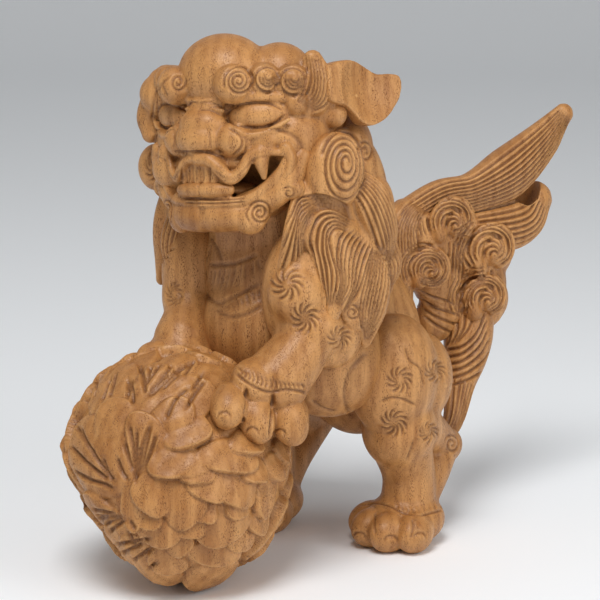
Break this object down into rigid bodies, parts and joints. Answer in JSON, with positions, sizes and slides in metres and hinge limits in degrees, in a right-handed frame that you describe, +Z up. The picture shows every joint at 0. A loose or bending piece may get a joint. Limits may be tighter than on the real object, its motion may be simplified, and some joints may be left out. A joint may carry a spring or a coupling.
{
  "type": "carved lion figurine",
  "caption": "Carved wooden guardian lion standing with its forepaws on a peony ball, with a curled mane and a raised flame tail; a shelf ornament that rests on its ball and hind feet.",
  "frame": {"origin": "centre of the overall box, at the level of the surface that the ball and the hind feet stand on", "axes": "+Z up; the lion faces -Y, with its tail towards +Y and its left side at +X"},
  "size_m": [0.1058, 0.2564, 0.211],
  "materials": {
    "carved_wood": "satin",
    "dowel_wood": "matte"
  },
  "bodies": {
    "root": {"peony_ball": "carved_wood", "body": "carved_wood", "head": "carved_wood", "lower_jaw": "carved_wood", "left_foreleg": "carved_wood", "right_foreleg": "carved_wood", "left_hind_leg": "carved_wood", "right_hind_leg": "carved_wood", "left_mane": "carved_wood", "right_mane": "carved_wood", "nape_mane": "carved_wood", "left_ear": "carved_wood", "right_ear": "carved_wood", "tail": "carved_wood", "tail_flame": "carved_wood", "tail_rear_lock": "carved_wood", "tail_hanging_lock": "carved_wood", "neck_dowel": "dowel_wood", "tail_dowel": "dowel_wood", "jaw_peg": "dowel_wood", "left_shoulder_dowel": "dowel_wood", "left_hip_dowel": "dowel_wood", "left_paw_peg": "dowel_wood", "left_ear_peg": "dowel_wood", "right_shoulder_dowel": "dowel_wood", "right_hip_dowel": "dowel_wood", "right_paw_peg": "dowel_wood", "right_ear_peg": "dowel_wood"}
  },
  "joints": []
}
